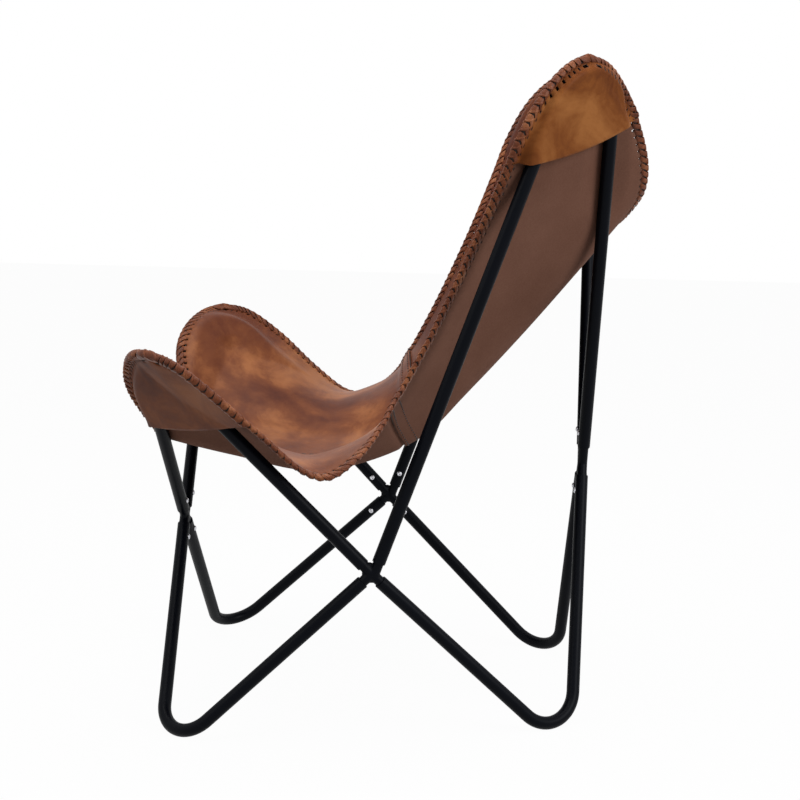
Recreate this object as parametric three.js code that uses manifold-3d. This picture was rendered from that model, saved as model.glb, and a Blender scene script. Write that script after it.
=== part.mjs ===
// A butterfly sling chair: four bent tube bars over four bent tube legs, plugged and
// screwed onto four crosses, with a leather sling hung from the bars by four pockets.
// Units are millimetres, +Z is up, the sitter faces -Y and sits on the plane x = 0.
import * as THREE from "three";
import { mergeVertices } from "three/addons/utils/BufferGeometryUtils.js";
import Module from "manifold-3d";

const wasm = await Module();
wasm.setup();
const mergeReach = 1e-4;

// Steel tube
const tubeDiameter = 19;
const tubeWall = 1.5;
const slipFit = 0.35;
const seatGap = 0.3;

// Where the tubes cross: at each side, at the front and at the back
const sideCrossHalfWidth = 268;
const sideCrossHeight = 243;
const frontCrossReach = 309;
const frontCrossHeight = 258;
const backCrossReach = 309;
const backCrossHeight = 359;

// Corner of each bent tube, where its two straight runs would meet
const frontFootHalfWidth = 300;
const frontFootReach = 294;
const backFootHalfWidth = 196;
const backFootReach = 293;
const frontBarHalfWidth = 312;
const frontBarReach = 322;
const frontBarHeight = 570;
const backBarHalfWidth = 268;
const backBarReach = 320;
const backBarHeight = 1139;
const backBarSetback = 3.8;
const legBendRadius = 53;
const frontBendRadius = 53;
const backBendRadius = 62;
const footFlatDepth = 0.5;

// Crosses and the screws that hold the tubes on them
const armLength = 17;
const plugDepth = 38;
const weldGap = 1.2;
const weldBeadRadius = 4.6;
const widestWeld = 0.65 * Math.PI;
const screwInset = 24;
const screwShankDiameter = 4;
const screwHeadDiameter = 8.2;
const screwHeadHeight = 2.6;
const screwRecessWidth = 3;
const screwRecessDepth = 1.3;
const screwBite = 6;

// Leather
const leatherThickness = 3;
const layerGap = 0.4;
const barGap = 0.6;
const barSwell = 16;
const swellReach = 50;
const lapWidth = 25;
const edgeRollDepth = 6.5;
const edgeRollThickness = 9;
const edgeRollGap = 0.8;
const pocketHem = 12;
const pocketInset = 1.5;
const pocketEase = 0.6;
const pocketBow = 4;

const tubeRadius = tubeDiameter / 2;
const boreRadius = tubeRadius - tubeWall;
const stubRadius = boreRadius - slipFit;

// Points of the frame on the side x > 0
const sideCross = new THREE.Vector3(sideCrossHalfWidth, 0, sideCrossHeight);
const frontCross = new THREE.Vector3(0, -frontCrossReach, frontCrossHeight);
const backCross = new THREE.Vector3(0, backCrossReach, backCrossHeight);
const frontBarCorner = new THREE.Vector3(frontBarHalfWidth, -frontBarReach, frontBarHeight);
const backBarCorner = new THREE.Vector3(backBarHalfWidth, backBarReach, backBarHeight);

function mirrored(point) {
  return new THREE.Vector3(-point.x, point.y, point.z);
}

// The round bend that joins two straight runs: its centre, ends and turning
function bendBetween(corner, endA, endB, radius) {
  const toA = endA.clone().sub(corner).normalize();
  const toB = endB.clone().sub(corner).normalize();
  const halfAngle = toA.angleTo(toB) / 2;
  const bisector = toA.clone().add(toB).normalize();
  const centre = corner.clone().addScaledVector(bisector, radius / Math.sin(halfAngle));
  const runOut = radius / Math.tan(halfAngle);
  const start = corner.clone().addScaledVector(toA, runOut);
  const end = corner.clone().addScaledVector(toB, runOut);
  const axisA = start.clone().sub(centre).normalize();
  const axisB = bisector.clone().negate().addScaledVector(axisA, bisector.dot(axisA)).normalize();
  const turn = Math.PI - 2 * halfAngle;
  return { centre, start, end, axisA, axisB, turn, radius, toA, toB };
}

function pointOnBend(bend, share) {
  const angle = bend.turn * share;
  return bend.centre.clone()
    .addScaledVector(bend.axisA, bend.radius * Math.cos(angle))
    .addScaledVector(bend.axisB, bend.radius * Math.sin(angle));
}

function tangentOnBend(bend, share) {
  const angle = bend.turn * share;
  return bend.axisB.clone().multiplyScalar(Math.cos(angle))
    .addScaledVector(bend.axisA, -Math.sin(angle));
}

// A foot corner sits just low enough for its bend to stand on the floor
function settledFoot(halfWidth, reach, endA) {
  const corner = new THREE.Vector3(halfWidth, reach, 0);
  const settlingPasses = 12;
  for (let pass = 0; pass < settlingPasses; pass += 1) {
    const bend = bendBetween(corner, endA, sideCross, legBendRadius);
    const planeNormal = bend.axisA.clone().cross(bend.axisB);
    const drop = bend.radius * Math.sqrt(1 - planeNormal.z ** 2);
    corner.z += tubeRadius - footFlatDepth - (bend.centre.z - drop);
  }
  return corner;
}
const frontFootCorner = settledFoot(frontFootHalfWidth, -frontFootReach, frontCross);
const backFootCorner = settledFoot(backFootHalfWidth, backFootReach, backCross);

// A cross holds four arms. Each arm is bare until its tube clears the tubes beside it
function crossAt(centre, inward, corners, shifts = {}) {
  const arms = Object.entries(corners).map(([name, corner]) => {
    const root = centre.clone().add(shifts[name] ?? new THREE.Vector3());
    return { name, corner, root, direction: corner.clone().sub(root).normalize() };
  });
  for (const arm of arms) {
    const others = arms.filter((other) => other !== arm);
    const nearest = Math.min(...others.map((other) => arm.direction.angleTo(other.direction)));
    arm.bare = Math.max(armLength, tubeRadius / Math.tan(nearest / 2) + weldGap);
    const lean = inward.dot(arm.direction);
    arm.screwOut = inward.clone().addScaledVector(arm.direction, -lean).normalize();
    arm.tubeEnd = arm.root.clone().addScaledVector(arm.direction, arm.bare);
    arm.screwRoot = arm.tubeEnd.clone().addScaledVector(arm.direction, screwInset);
  }
  return { centre, arms };
}
const crosses = {
  front: crossAt(frontCross, new THREE.Vector3(0, 1, 0), {
    leg_left: frontFootCorner,
    leg_right: mirrored(frontFootCorner),
    bar_left: frontBarCorner,
    bar_right: mirrored(frontBarCorner),
  }),
  back: crossAt(backCross, new THREE.Vector3(0, -1, 0), {
    leg_left: backFootCorner,
    leg_right: mirrored(backFootCorner),
    bar_left: backBarCorner,
    bar_right: mirrored(backBarCorner),
  }),
  left: crossAt(sideCross, new THREE.Vector3(-1, 0, 0), {
    front_leg: frontFootCorner,
    back_leg: backFootCorner,
    front_bar: frontBarCorner,
    back_bar: backBarCorner,
  }, { back_bar: new THREE.Vector3(0, backBarSetback, 0) }),
};

function armTowards(cross, corner) {
  return cross.arms.find((arm) => arm.corner === corner);
}

// A tube's centreline with stations only where it turns
class BentLine extends THREE.Curve {
  constructor(corner, cross, radius, bendSteps) {
    super();
    this.corner = corner;
    this.arms = [armTowards(cross, corner), armTowards(crosses.left, corner)];
    this.bend = bendBetween(corner, this.arms[0].root, this.arms[1].root, radius);
    [this.start, this.end] = this.arms.map((arm) => arm.tubeEnd);
    this.bendSteps = bendSteps;
    this.stationCount = bendSteps + 2;
  }

  getPointAt(share, target = new THREE.Vector3()) {
    const station = share * this.stationCount;
    if (station <= 1) return target.lerpVectors(this.start, this.bend.start, station);
    const last = this.stationCount - 1;
    if (station >= last) return target.lerpVectors(this.bend.end, this.end, station - last);
    return target.copy(pointOnBend(this.bend, (station - 1) / this.bendSteps));
  }

  getPoint(share, target) {
    return this.getPointAt(share, target);
  }

  getTangentAt(share, target = new THREE.Vector3()) {
    const station = share * this.stationCount;
    const onBend = THREE.MathUtils.clamp((station - 1) / this.bendSteps, 0, 1);
    return target.copy(tangentOnBend(this.bend, onBend));
  }

  getTangent(share, target) {
    return this.getTangentAt(share, target);
  }
}

function roundShape(radius, sides) {
  const shape = new THREE.Shape();
  for (let side = 0; side < sides; side += 1) {
    const angle = 2 * Math.PI * side / sides;
    const x = radius * Math.cos(angle);
    const y = radius * Math.sin(angle);
    if (side === 0) shape.moveTo(x, y);
    else shape.lineTo(x, y);
  }
  shape.closePath();
  return shape;
}

// Solids for cutting and joining
function solidOf(geometry) {
  const bare = geometry.clone();
  bare.deleteAttribute("normal");
  if (bare.attributes.uv) bare.deleteAttribute("uv");
  const merged = mergeVertices(bare, mergeReach);
  return new wasm.Manifold(new wasm.Mesh({
    numProp: 3,
    vertProperties: Float32Array.from(merged.attributes.position.array),
    triVerts: Uint32Array.from(merged.index.array),
  }));
}

function geometryOf(solid) {
  const mesh = solid.getMesh();
  const geometry = new THREE.BufferGeometry();
  geometry.setAttribute("position", new THREE.BufferAttribute(mesh.vertProperties, 3));
  geometry.setIndex(new THREE.BufferAttribute(mesh.triVerts, 1));
  geometry.computeVertexNormals();
  return geometry;
}

const outerSides = 12;
const boreSides = 8;
const bendSteps = 8;

function sweptTube(line, radius, bore) {
  const shape = roundShape(radius, outerSides);
  if (bore) shape.holes.push(roundShape(bore / Math.cos(Math.PI / boreSides), boreSides));
  return new THREE.ExtrudeGeometry(shape, {
    steps: line.stationCount,
    extrudePath: line,
    bevelEnabled: false,
  });
}

function rodAlong(start, direction, length, radius, sides) {
  const rod = new THREE.CylinderGeometry(radius, radius, length, sides);
  const up = new THREE.Vector3(0, 1, 0);
  rod.applyQuaternion(new THREE.Quaternion().setFromUnitVectors(up, direction));
  const middle = start.clone().addScaledVector(direction, length / 2);
  return rod.translate(middle.x, middle.y, middle.z);
}

// Each arm's tube has a screw on the side that faces into the chair
const shankRadius = screwShankDiameter / 2;
const shankSides = 8;
function screwHole(arm, from, length) {
  const start = arm.screwRoot.clone().addScaledVector(arm.screwOut, from);
  return solidOf(rodAlong(start, arm.screwOut, length, shankRadius + seatGap, shankSides));
}

function tubeSolid(line) {
  const tube = solidOf(sweptTube(line, tubeRadius, boreRadius));
  return line.arms.reduce((solid, arm) => solid.subtract(screwHole(arm, 0, tubeDiameter)), tube);
}

// The bend of a leg is worn flat where it stands on the floor
function standingOnFloor(tube, bend) {
  const size = 4 * legBendRadius;
  const floor = new THREE.BoxGeometry(size, size, size);
  floor.translate(bend.centre.x, bend.centre.y, -size / 2);
  return tube.subtract(solidOf(floor));
}

const armSides = 10;
const beadSides = 6;
function crossSolid(cross) {
  const { x, y, z } = cross.centre;
  let body = solidOf(new THREE.SphereGeometry(stubRadius, armSides, armSides / 2).translate(x, y, z));
  for (const arm of cross.arms) {
    const length = arm.bare + plugDepth;
    body = body.add(solidOf(rodAlong(arm.root, arm.direction, length, stubRadius, armSides)));
  }
  // Weld beads fill the notches between neighbouring arms
  cross.arms.forEach((arm, index) => {
    cross.arms.slice(index + 1).forEach((other) => {
      const angle = arm.direction.angleTo(other.direction);
      if (angle > widestWeld) return;
      const notch = stubRadius / Math.sin(angle / 2) - weldBeadRadius / 3;
      const bisector = arm.direction.clone().add(other.direction).normalize();
      const spot = cross.centre.clone().addScaledVector(bisector, notch);
      body = body.add(solidOf(new THREE.SphereGeometry(weldBeadRadius, beadSides, beadSides - 2)
        .translate(spot.x, spot.y, spot.z)));
    });
  });
  const from = stubRadius - screwBite;
  return cross.arms.reduce((solid, arm) => solid.subtract(screwHole(arm, from, 2 * screwBite)), body);
}

const headSides = 8;
const headSideShare = 0.45;
const headTopShare = 0.72;
function screwGeometry() {
  const headRadius = screwHeadDiameter / 2;
  const recessRadius = screwRecessWidth / 2;
  const head = screwHeadHeight;
  const profile = [
    [0, tubeWall - screwBite],
    [shankRadius, tubeWall - screwBite],
    [shankRadius, 0],
    [headRadius, 0],
    [headRadius, headSideShare * head],
    [headTopShare * headRadius, head],
    [recessRadius, head],
    [recessRadius, head - screwRecessDepth],
    [0, head - screwRecessDepth],
  ];
  return new THREE.LatheGeometry(profile.map(([x, y]) => new THREE.Vector2(x, y)), headSides);
}

// The sling hangs from the bars, so its outline follows the middles of the bars' bends
const leftLines = {
  frontLeg: new BentLine(frontFootCorner, crosses.front, legBendRadius, bendSteps),
  backLeg: new BentLine(backFootCorner, crosses.back, legBendRadius, bendSteps),
  frontBar: new BentLine(frontBarCorner, crosses.front, frontBendRadius, bendSteps),
  backBar: new BentLine(backBarCorner, crosses.back, backBendRadius, bendSteps),
};
const frontPeg = pointOnBend(leftLines.frontBar.bend, 0.5);
const backPeg = pointOnBend(leftLines.backBar.bend, 0.5);
const reachOf = (peg, shares) => new THREE.Vector3(shares[0] * peg.x, shares[1] * peg.y, shares[2] * peg.z);

const rimFrontShares = [
  [1.221, 1.016, 1.073], [1.324, 0.867, 1.052], [1.359, 0.678, 0.975], [1.331, 0.458, 0.860],
  [1.359, 0.278, 0.779], [1.380, 0.170, 0.769], [1.303, 0.061, 0.811],
];
const rimBackShares = [
  [1.330, 0.042, 0.491], [1.125, 0.134, 0.545], [1.107, 0.255, 0.619], [1.099, 0.371, 0.699],
  [1.107, 0.485, 0.785], [1.223, 0.576, 0.860], [1.296, 0.643, 0.918], [1.279, 0.735, 0.970],
  [1.185, 0.862, 1.012], [1.073, 0.972, 1.028],
];
const frontEdgeShares = [
  [0, 1.152, 0.751], [0.212, 1.125, 0.759], [0.389, 1.108, 0.775], [0.496, 1.121, 0.802],
  [0.581, 1.169, 0.865], [0.666, 1.206, 0.927], [0.750, 1.213, 0.975], [0.885, 1.189, 1.023],
  [1.048, 1.125, 1.058], [1.221, 1.016, 1.073],
];
const topEdgeShares = [
  [0, 1.240, 0.788], [0.150, 1.265, 0.798], [0.322, 1.329, 0.834], [0.429, 1.336, 0.870],
  [0.498, 1.314, 0.902], [0.601, 1.261, 0.944], [0.751, 1.191, 0.987], [0.906, 1.099, 1.017],
  [1.073, 0.972, 1.028],
];
const middleFrontShares = [[0, 1.152, 0.751], [0, 0.766, 0.711], [0, 0.407, 0.678], [0, 0.068, 0.705]];
const middleBackShares = [
  [0, 0.212, 0.429], [0, 0.410, 0.488], [0, 0.707, 0.588], [0, 1.018, 0.703], [0, 1.240, 0.788],
];

function throughBoth(frontShares, backShares) {
  return [...frontShares.map((shares) => reachOf(frontPeg, shares)),
    ...backShares.map((shares) => reachOf(backPeg, shares))];
}

function symmetricCurve(peg, halfShares) {
  const half = halfShares.map((shares) => reachOf(peg, shares));
  const other = half.slice(1).reverse().map(mirrored);
  return new THREE.CatmullRomCurve3([...other, ...half]);
}
const rimCurve = new THREE.CatmullRomCurve3(throughBoth(rimFrontShares, rimBackShares));
const middleCurve = new THREE.CatmullRomCurve3(throughBoth(middleFrontShares, middleBackShares));
const frontEdgeCurve = symmetricCurve(frontPeg, frontEdgeShares);
const topEdgeCurve = symmetricCurve(backPeg, topEdgeShares);

// The seat is nearly flat across its middle, the back is a round hollow
const seatHollowPower = 3;
const backHollowPower = 2;
const hollowTurnStart = 0.3;
const hollowTurnEnd = 0.6;
const frontBlendPower = 2;
const topBlendPower = 3;
function hollowPower(along) {
  const turning = THREE.MathUtils.clamp(along, hollowTurnStart, hollowTurnEnd);
  return THREE.MathUtils.mapLinear(turning, hollowTurnStart, hollowTurnEnd,
    seatHollowPower, backHollowPower);
}

function hammock(along, across) {
  const rim = rimCurve.getPointAt(along);
  const middle = middleCurve.getPointAt(along);
  const rise = Math.abs(across) ** hollowPower(along);
  return new THREE.Vector3(rim.x * across,
    THREE.MathUtils.lerp(middle.y, rim.y, rise), THREE.MathUtils.lerp(middle.z, rim.z, rise));
}

function freeSheet(along, across) {
  const alongFraction = (across + 1) / 2;
  const point = hammock(along, across);
  const frontPull = frontEdgeCurve.getPointAt(alongFraction).sub(hammock(0, across));
  const topPull = topEdgeCurve.getPointAt(alongFraction).sub(hammock(1, across));
  return point.addScaledVector(frontPull, (1 - along) ** frontBlendPower)
    .addScaledVector(topPull, along ** topBlendPower);
}

// The bars that carry the sling, with the side of each that faces the sitter
const probe = 0.004;
const seatMiddle = middleCurve.getPointAt(0.5);
function carrierOf(line) {
  const facing = line.bend.toA.clone().cross(line.bend.toB).normalize();
  if (facing.dot(sideCross.clone().sub(seatMiddle)) > 0) facing.negate();
  const points = [];
  for (let step = 0; step <= line.stationCount; step += 1) {
    points.push(line.getPointAt(step / line.stationCount));
  }
  return { points, facing };
}
const carriers = [carrierOf(leftLines.frontBar), carrierOf(leftLines.backBar)];

const segment = new THREE.Line3();
const nearest = new THREE.Vector3();
function closestOnCarrier(carrier, point) {
  let best = null;
  for (let index = 1; index < carrier.points.length; index += 1) {
    segment.set(carrier.points[index - 1], carrier.points[index]);
    segment.closestPointToPoint(point, true, nearest);
    const distance = nearest.distanceTo(point);
    if (!best || distance < best.distance) best = { distance, point: nearest.clone() };
  }
  return best;
}

// Leather laid over a bar is lifted clear of it in a broad swell that dies out at the edge
const bearing = tubeRadius + leatherThickness / 2 + barGap;
const rimLength = rimCurve.getLength();
function liftOver(carrier, point, fromEdge) {
  const closest = closestOnCarrier(carrier, point);
  const height = point.clone().sub(closest.point).dot(carrier.facing);
  const aside = Math.sqrt(Math.max(0, closest.distance ** 2 - height ** 2));
  const nearBar = 1 - THREE.MathUtils.smoothstep(aside, barSwell, swellReach);
  const inside = THREE.MathUtils.smoothstep(fromEdge, 0, barSwell);
  return Math.max(0, bearing - height) * nearBar * inside;
}

function sheetPoint(along, across) {
  const side = across < 0 ? -1 : 1;
  const point = freeSheet(along, Math.abs(across));
  const fromSide = (1 - Math.abs(across)) * point.x / Math.max(Math.abs(across), probe);
  const fromEdge = Math.min(fromSide, along * rimLength, (1 - along) * rimLength);
  for (const carrier of carriers) {
    point.addScaledVector(carrier.facing, liftOver(carrier, point, fromEdge));
  }
  point.x *= side;
  return point;
}

// The upward normal of the sheet
function sheetNormal(along, across) {
  const alongA = sheetPoint(Math.max(0, along - probe), across);
  const alongB = sheetPoint(Math.min(1, along + probe), across);
  const acrossA = sheetPoint(along, Math.max(-1, across - probe));
  const acrossB = sheetPoint(along, Math.min(1, across + probe));
  return acrossB.sub(acrossA).cross(alongB.sub(alongA)).normalize();
}

function range(from, to, steps) {
  return Array.from({ length: steps + 1 }, (unused, index) => from + (to - from) * index / steps);
}

// Two triangles for a quad, cut along its shorter diagonal so that left and right match
function quadFaces(points, a, b, c, d) {
  const shorter = points[a].distanceTo(points[c]) < points[b].distanceTo(points[d]);
  return shorter ? [a, b, c, a, c, d] : [b, c, d, b, d, a];
}

// A closed solid from rows of stations, each a closed ring of points, with flat ends
function loft(rings) {
  const ringSize = rings[0].length;
  const points = rings.flat();
  const index = [];
  for (let ring = 0; ring < rings.length - 1; ring += 1) {
    for (let place = 0; place < ringSize; place += 1) {
      const next = (place + 1) % ringSize;
      const a = ring * ringSize + place;
      const b = ring * ringSize + next;
      index.push(...quadFaces(points, a, b, b + ringSize, a + ringSize));
    }
  }
  const lastRing = (rings.length - 1) * ringSize;
  for (let place = 1; place < ringSize - 1; place += 1) {
    index.push(0, place + 1, place, lastRing, lastRing + place, lastRing + place + 1);
  }
  return outwardGeometry(points, index);
}

function outwardGeometry(points, index) {
  const corner = (place) => points[index[place]];
  let volume = 0;
  for (let place = 0; place < index.length; place += 3) {
    volume += corner(place).dot(corner(place + 1).clone().cross(corner(place + 2)));
  }
  if (volume < 0) index.reverse();
  const positions = points.flatMap((point) => point.toArray());
  const geometry = new THREE.BufferGeometry();
  geometry.setAttribute("position", new THREE.Float32BufferAttribute(positions, 3));
  geometry.setIndex(index);
  geometry.computeVertexNormals();
  return geometry;
}

// A leather panel: a grid of points with its normals, thickened to both sides
function panel(rows) {
  const height = rows.length;
  const width = rows[0].length;
  const faces = [leatherThickness / 2, -leatherThickness / 2].flatMap((offset) =>
    rows.flat().map(({ point, normal }) => point.clone().addScaledVector(normal, offset)));
  const under = height * width;
  const index = [];
  const quad = (a, b, c, d) => index.push(...quadFaces(faces, a, b, c, d));
  for (let row = 0; row < height - 1; row += 1) {
    for (let column = 0; column < width - 1; column += 1) {
      const a = row * width + column;
      quad(a, a + 1, a + 1 + width, a + width);
      quad(under + a, under + a + width, under + a + 1 + width, under + a + 1);
    }
  }
  for (let column = 0; column < width - 1; column += 1) {
    const first = column;
    const last = (height - 1) * width + column;
    quad(first, under + first, under + first + 1, first + 1);
    quad(last, last + 1, under + last + 1, under + last);
  }
  for (let row = 0; row < height - 1; row += 1) {
    const first = row * width;
    const last = first + width - 1;
    quad(first, first + width, under + first + width, under + first);
    quad(last, under + last, under + last + width, last + width);
  }
  return outwardGeometry(faces, index);
}

// How far the sheet reaches: the edge roll takes the rest
const middleLength = middleCurve.getLength();
const seamShare = 0.455;
const alongTrim = edgeRollDepth / rimLength;
const acrossTrim = edgeRollDepth / rimCurve.getPointAt(0.5).x;
const lapAlong = lapWidth / middleLength;
const lapAcross = lapWidth / rimCurve.getPointAt(seamShare / 2).x;
const layerRise = leatherThickness + layerGap;

// Stations that the panels and the laced edge share, so that their edges run alike
const seatSteps = 16;
const backSteps = 20;
const sideSteps = 11;
const acrossHalf = [lapAcross / 2, ...range(lapAcross, 1 - acrossTrim, sideSteps)];
const acrossOther = acrossHalf.map((across) => -across).reverse();
const acrossAll = [...acrossOther, ...acrossHalf];
const seamLap = [seamShare - lapAlong / 2, seamShare + lapAlong / 2];
const seatAlongs = [...range(alongTrim, seamShare - lapAlong, seatSteps), ...seamLap];
const backAlongs = [seamLap[0], ...range(seamLap[1], 1 - alongTrim, backSteps)];
const alongAll = [...seatAlongs, ...backAlongs.slice(2)];

// Seams are laps: the upper leather climbs over the edge of the lower one
function seatRise(along, across, side) {
  const overBack = THREE.MathUtils.smoothstep(along, seamShare - lapAlong, seamLap[0]);
  const overLeft = side < 0 ? THREE.MathUtils.smoothstep(across, -lapAcross, -lapAcross / 2) : 0;
  return layerRise * (overBack + overLeft);
}

function sheetStation(along, across, rise = 0) {
  const normal = sheetNormal(along, across);
  const point = sheetPoint(along, across).addScaledVector(normal, rise);
  return { point, normal };
}

function seatHalf(side) {
  const acrosses = side > 0 ? [-lapAcross / 2, ...acrossHalf] : [...acrossOther, lapAcross / 2];
  return panel(seatAlongs.map((along) =>
    acrosses.map((across) => sheetStation(along, across, seatRise(along, across, side)))));
}

function backPanel() {
  return panel(backAlongs.map((along) => acrossAll.map((across) => sheetStation(along, across))));
}

// Where a pocket starts on the front or top edge, and where it ends on the side
const frontPocketEdgeShare = 0.385;
const frontPocketSideShare = 0.16;
const backPocketEdgeShare = 0.53;
const backPocketSideShare = 0.80;
const freeEdgeInsetShare = 0.1;

function pocketRim(edgeAlong, edgeShare, sideShare) {
  const alongEdge = acrossHalf.filter((across) => across > edgeShare);
  const alongSide = edgeAlong < sideShare
    ? alongAll.filter((along) => along < sideShare)
    : alongAll.filter((along) => along > sideShare).reverse();
  return [...[edgeShare, ...alongEdge].map((across) => sheetStation(edgeAlong, across)),
    ...[...alongSide.slice(1), sideShare].map((along) => sheetStation(along, 1 - acrossTrim))];
}

// How far a place is from the rim of a pocket
function reachFromRim(rim, place) {
  let reach = Infinity;
  for (let index = 1; index < rim.length; index += 1) {
    segment.set(rim[index - 1].point, rim[index].point);
    segment.closestPointToPoint(place, true, nearest);
    reach = Math.min(reach, nearest.distanceTo(place));
  }
  return reach;
}

// Stations for a grid of places, each with the normal of the surface round it. All the
// normals point to the side of facing
function surfaceStations(places, facing) {
  const lastRow = places.length - 1;
  const lastColumn = places[0].length - 1;
  const normalAt = (row, column) => {
    const down = places[Math.min(lastRow, row + 1)][column].clone()
      .sub(places[Math.max(0, row - 1)][column]);
    const along = places[row][Math.min(lastColumn, column + 1)].clone()
      .sub(places[row][Math.max(0, column - 1)]);
    return down.cross(along).normalize();
  };
  const middleNormal = normalAt(Math.floor(lastRow / 2), Math.floor(lastColumn / 2));
  const way = Math.sign(middleNormal.dot(facing));
  return places.map((line, row) => line.map((point, column) =>
    ({ point, normal: normalAt(row, column).multiplyScalar(way) })));
}

// A pocket spans an ear of the sling under its bar, from just inside the rim to a free
// edge. It lies under the sling at the rim, passes below the bar, and bows out between its
// sides. Its first and last columns start a little way along the free edge
const pocketRowShares = [0, 0.1, 0.22, 0.36, 0.52, 0.7, 0.85, 1];
function pocketGeometry(carrier, rim) {
  const first = rim[0].point;
  const last = rim[rim.length - 1].point;
  const sunk = bearing + pocketEase;
  const under = -layerRise - pocketEase;
  const freeEdgeShares = range(freeEdgeInsetShare, 1 - freeEdgeInsetShare, rim.length - 1);
  const places = pocketRowShares.map((down) => rim.map(({ point, normal }, column) => {
    const free = first.clone().lerp(last, freeEdgeShares[column]);
    const start = point.clone().add(free.clone().sub(point).setLength(pocketInset));
    const place = start.lerp(free, down);
    const wrap = THREE.MathUtils.smoothstep(reachFromRim(rim, place), 0, pocketHem);
    const height = place.clone().sub(carrier.points[0]).dot(carrier.facing);
    const bow = pocketBow * Math.sin(Math.PI * column / (rim.length - 1)) * Math.sin(Math.PI / 2 * down);
    const hemmed = place.clone().addScaledVector(normal, under);
    const wrapped = place.clone().addScaledVector(carrier.facing, Math.min(under, -sunk - height - bow));
    return hemmed.lerp(wrapped, wrap);
  }));
  return panel(surfaceStations(places, carrier.facing));
}

// The laced edge is a roll of leather just outside the sheet's edge, mitred at the corners
function sideStation(along, across) {
  const rise = along > seamLap[1] ? 0 : seatRise(along, across, 1) / 2;
  return sheetStation(along, across, rise);
}
const sideReach = 1 - acrossTrim;
const edgeRuns = {
  front_lacing: acrossAll.map((across) => sheetStation(alongTrim, across)),
  side_lacing_left: alongAll.map((along) => sideStation(along, sideReach)),
  top_lacing: acrossAll.map((across) => sheetStation(1 - alongTrim, across)).reverse(),
  side_lacing_right: alongAll.map((along) => sideStation(along, -sideReach)).reverse(),
};
const edgeLoop = Object.values(edgeRuns).flatMap((run) => run.slice(0, -1));
const rollShares = [[0, -0.75], [0.5, -1], [1, -0.4], [1, 0.4], [0.5, 1], [0, 0.75]];

function rollRing(place) {
  const { point, normal } = edgeLoop[place];
  const before = edgeLoop[(place + edgeLoop.length - 1) % edgeLoop.length].point;
  const after = edgeLoop[(place + 1) % edgeLoop.length].point;
  const outBefore = point.clone().sub(before).cross(normal).normalize();
  const outAfter = after.clone().sub(point).cross(normal).normalize();
  const mitre = outBefore.clone().add(outAfter).divideScalar(1 + outBefore.dot(outAfter));
  return rollShares.map(([away, aloft]) => point.clone()
    .addScaledVector(mitre, edgeRollGap + away * edgeRollDepth)
    .addScaledVector(normal, aloft * edgeRollThickness / 2));
}

function edgeRoll(firstPlace, stationCount) {
  const places = range(firstPlace, firstPlace + stationCount - 1, stationCount - 1);
  const rings = places.map((place) => rollRing(place % edgeLoop.length));
  const pull = (ring, next) => {
    const inward = next[0].clone().sub(ring[0]).setLength(seatGap / 2);
    ring.forEach((corner) => corner.add(inward));
  };
  pull(rings[0], rings[1]);
  pull(rings[stationCount - 1], rings[stationCount - 2]);
  return loft(rings);
}

const chair = new THREE.Group();
const blackSteel = { color: 0x14141a, roughness: 0.45, metalness: 0.3 };
const screwSteel = { color: 0x9a9aa0, roughness: 0.35, metalness: 1 };
const tanLeather = { color: 0x82503a, roughness: 0.5, metalness: 0 };
const pocketLeather = { color: 0x965f32, roughness: 0.5, metalness: 0 };
const laceLeather = { color: 0x6e3c28, roughness: 0.55, metalness: 0 };

function place(name, geometry, finish) {
  const mesh = new THREE.Mesh(geometry, new THREE.MeshStandardMaterial(finish));
  mesh.name = name;
  chair.add(mesh);
  return mesh;
}

// What stands on the left, x > 0, is also turned about to make the right
function flipped(geometry) {
  const copy = geometry.clone().applyMatrix4(new THREE.Matrix4().makeScale(-1, 1, 1));
  const index = Array.from(copy.index.array);
  for (let first = 0; first < index.length; first += 3) {
    [index[first + 1], index[first + 2]] = [index[first + 2], index[first + 1]];
  }
  copy.setIndex(index);
  copy.computeVertexNormals();
  return copy;
}

function placePair(name, geometry, finish) {
  place(`${name}_left`, geometry, finish);
  place(`${name}_right`, flipped(geometry), finish);
}

// Tubes
function legGeometry(line) {
  return geometryOf(standingOnFloor(tubeSolid(line), line.bend));
}
placePair("front_leg", legGeometry(leftLines.frontLeg), blackSteel);
placePair("back_leg", legGeometry(leftLines.backLeg), blackSteel);
placePair("front_bar", geometryOf(tubeSolid(leftLines.frontBar)), blackSteel);
placePair("back_bar", geometryOf(tubeSolid(leftLines.backBar)), blackSteel);

// Crosses
place("front_cross", geometryOf(crossSolid(crosses.front)), blackSteel);
place("back_cross", geometryOf(crossSolid(crosses.back)), blackSteel);
placePair("side_cross", geometryOf(crossSolid(crosses.left)), blackSteel);

// Screws
const screw = mergeVertices(screwGeometry(), mergeReach);
function placeScrew(name, out, root) {
  const mesh = place(name, screw, screwSteel);
  mesh.quaternion.setFromUnitVectors(new THREE.Vector3(0, 1, 0), out);
  mesh.position.copy(root).addScaledVector(out, tubeRadius + seatGap);
}
for (const [crossName, { arms }] of Object.entries(crosses)) {
  for (const { name, screwOut, screwRoot } of arms) {
    placeScrew(`screw_${crossName}_${name}`, screwOut, screwRoot);
    if (crossName === "left") placeScrew(`screw_right_${name}`, mirrored(screwOut), mirrored(screwRoot));
  }
}

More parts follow.
